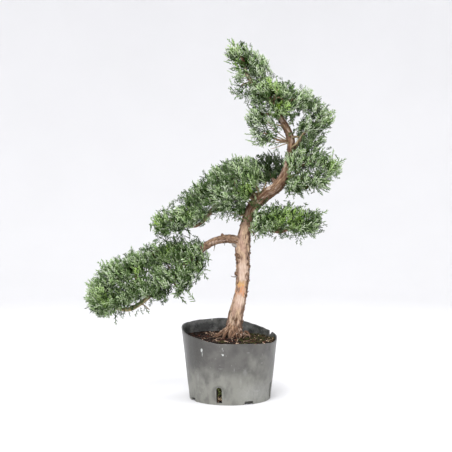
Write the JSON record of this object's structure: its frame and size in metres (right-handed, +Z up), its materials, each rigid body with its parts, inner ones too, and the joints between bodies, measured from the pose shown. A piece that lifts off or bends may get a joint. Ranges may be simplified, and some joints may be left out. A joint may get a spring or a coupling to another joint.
{
  "type": "kishu juniper bonsai",
  "caption": "Leaning juniper bonsai with a long low cascading branch and pads of scale-leaf foliage, in a hand-cut grey plastic pot.",
  "frame": {"origin": "centre of the pot's underside, on the surface that it stands on", "axes": "+Z up, -Y towards the viewer, +X to the viewer's right, away from the cascading branch"},
  "size_m": [0.3103, 0.1171, 0.4311],
  "materials": {
    "pot": "satin",
    "soil": "matte",
    "wood": "matte",
    "foliage": "matte"
  },
  "bodies": {
    "root": {"pot": "pot", "soil": "soil", "trunk_and_branches": "wood", "foliage_apex": "foliage", "foliage_apex_spray": "foliage", "foliage_crown_left": "foliage", "foliage_crown_middle": "foliage", "foliage_crown_right": "foliage", "foliage_crown_under": "foliage", "foliage_left_airy": "foliage", "foliage_right_high": "foliage", "foliage_right_middle": "foliage", "foliage_right_hanging": "foliage", "foliage_left_upper": "foliage", "foliage_left_lower": "foliage", "foliage_left_outer": "foliage", "foliage_tip_inner": "foliage", "foliage_tip_outer": "foliage", "foliage_back": "foliage", "foliage_right_low_inner": "foliage", "foliage_right_low_outer": "foliage", "foliage_cascade_high": "foliage", "foliage_cascade_low": "foliage", "foliage_cascade_hanging": "foliage", "foliage_outer_high": "foliage", "foliage_outer_low": "foliage", "foliage_outer_tip": "foliage"}
  },
  "joints": []
}
